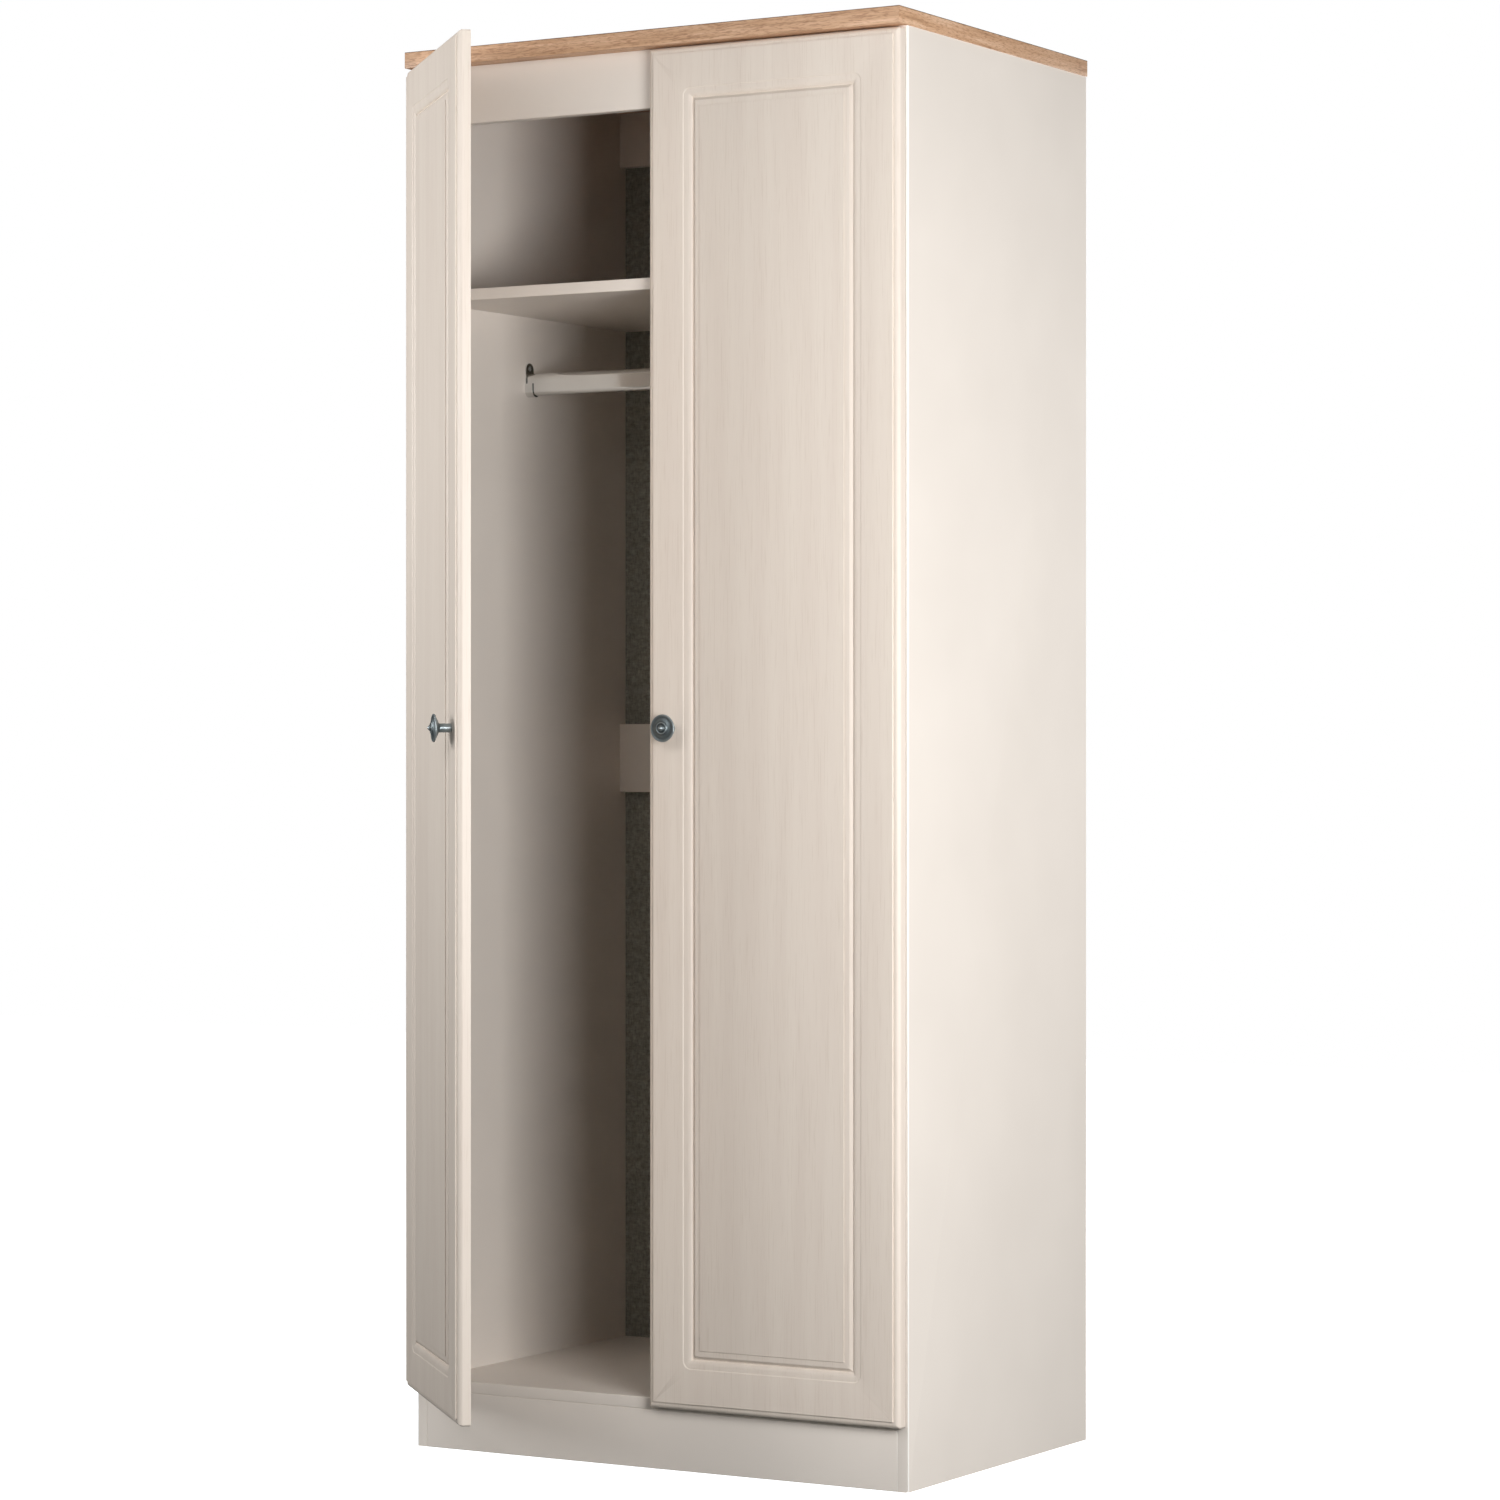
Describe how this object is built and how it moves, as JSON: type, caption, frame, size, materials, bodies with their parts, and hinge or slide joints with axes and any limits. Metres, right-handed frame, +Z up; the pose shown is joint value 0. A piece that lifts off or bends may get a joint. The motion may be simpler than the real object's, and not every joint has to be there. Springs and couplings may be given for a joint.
{
  "type": "two-door wardrobe",
  "caption": "Free-standing wardrobe with routed hinged doors, oak-effect top, hat shelf, hanging rail and plinth.",
  "frame": {"origin": "on the floor, at the middle of the wardrobe's width, level with the front edges of the side panels and the plinth's front face", "axes": "+X to the right as seen from the front, +Y to the back, +Z up"},
  "size_m": [0.737, 0.7719, 1.825],
  "materials": {
    "oak_laminate": "satin oak-effect laminate",
    "cream_melamine": "satin cream melamine on chipboard",
    "vinyl_wrap": "matt cream vinyl wrap with a fine vertical grain, on fibreboard",
    "hardboard": "dark brown hardboard",
    "chrome": "polished chrome plate",
    "pewter": "antiqued pewter",
    "zinc_steel": "bright zinc plate",
    "nickel_steel": "satin nickel plate",
    "beech": "bare fluted beech",
    "clear_buffer": "soft translucent polyurethane"
  },
  "bodies": {
    "carcass": {"worktop": "oak_laminate", "left_side_panel": "cream_melamine", "right_side_panel": "cream_melamine", "floor_panel": "cream_melamine", "plinth": "cream_melamine", "front_top_rail": "cream_melamine", "shelf": "cream_melamine", "back_top_rail": "cream_melamine", "back_mid_rail": "cream_melamine", "back_panel": "hardboard", "back_tacks": "zinc_steel", "dowels": "beech", "hanging_rail": "chrome", "left_rail_socket": "chrome", "right_rail_socket": "chrome", "socket_screws": "zinc_steel", "left_hinge_plates": "nickel_steel", "right_hinge_plates": "nickel_steel", "left_hinge_arms": "nickel_steel", "right_hinge_arms": "nickel_steel", "plate_screws": "zinc_steel", "arm_screws": "zinc_steel", "left_arm_pins": "zinc_steel", "right_arm_pins": "zinc_steel"},
    "left_links": {"left_hinge_links": "nickel_steel"},
    "left_door": {"left_door": "vinyl_wrap", "left_knob": "pewter", "left_knob_screw": "zinc_steel", "left_cup_pins": "zinc_steel", "left_hinge_cups": "nickel_steel", "left_cup_screws": "zinc_steel", "left_door_bumpers": "clear_buffer"},
    "right_links": {"right_hinge_links": "nickel_steel"},
    "right_door": {"right_door": "vinyl_wrap", "right_knob": "pewter", "right_knob_screw": "zinc_steel", "right_cup_pins": "zinc_steel", "right_hinge_cups": "nickel_steel", "right_cup_screws": "zinc_steel", "right_door_bumpers": "clear_buffer"}
  },
  "joints": [
    {"name": "left_door_swing", "type": "hinge", "parent": "left_links", "child": "left_door", "pos_m": [-0.35511, -0.01635, 0.9405], "axis": [0, 0, -1], "range_deg": [-73.1, 105.98]},
    {"name": "left_link_turn", "type": "hinge", "parent": "carcass", "child": "left_links", "pos_m": [-0.3328, -0.0095, 0.9405], "axis": [0, 0, -1], "range_deg": [-40.89, 28.21]},
    {"name": "right_door_swing", "type": "hinge", "parent": "right_links", "child": "right_door", "pos_m": [0.3557, -0.005, 0.9405], "axis": [0, 0, 1], "range_deg": [0, 179.08]},
    {"name": "right_link_turn", "type": "hinge", "parent": "carcass", "child": "right_links", "pos_m": [0.3328, -0.0095, 0.9405], "axis": [0, 0, 1], "range_deg": [-69.09, 0.01]}
  ],
  "couplings": [
    {"joint": "left_link_turn", "follows": "left_door_swing", "ratio": -0.38575},
    {"joint": "right_link_turn", "follows": "right_door_swing", "ratio": -0.38575}
  ]
}
